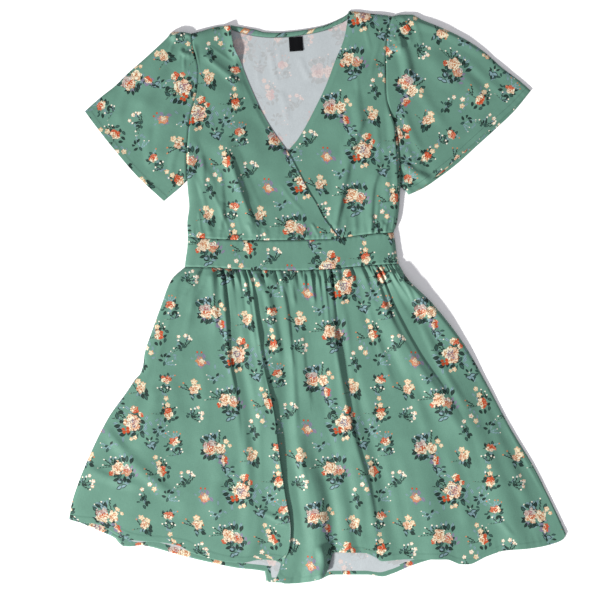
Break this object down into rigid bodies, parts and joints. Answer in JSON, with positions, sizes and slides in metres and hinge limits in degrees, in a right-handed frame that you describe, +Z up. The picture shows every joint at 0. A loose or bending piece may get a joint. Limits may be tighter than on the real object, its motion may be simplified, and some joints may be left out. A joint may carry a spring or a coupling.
{
  "type": "wrap dress",
  "caption": "Short-sleeved wrap dress in green floral cloth, laid flat, with a V neck, a waistband and a gathered skirt.",
  "frame": {"origin": "centre of the dress's outline, on the surface that it lies on", "axes": "+Y from the hem to the neck, +X towards the picture's right, +Z up from the surface"},
  "size_m": [0.796, 0.9174, 0.0185],
  "materials": {
    "printed_cloth": "matte",
    "label_cloth": "satin"
  },
  "bodies": {
    "root": {"back_bodice": "printed_cloth", "back_neck_binding": "printed_cloth", "neck_label": "label_cloth", "front_bodice_over": "printed_cloth", "front_bodice_under": "printed_cloth", "sleeve_left": "printed_cloth", "sleeve_right": "printed_cloth", "waistband_front": "printed_cloth", "waistband_back": "printed_cloth", "skirt_front": "printed_cloth", "skirt_back": "printed_cloth"}
  },
  "joints": []
}
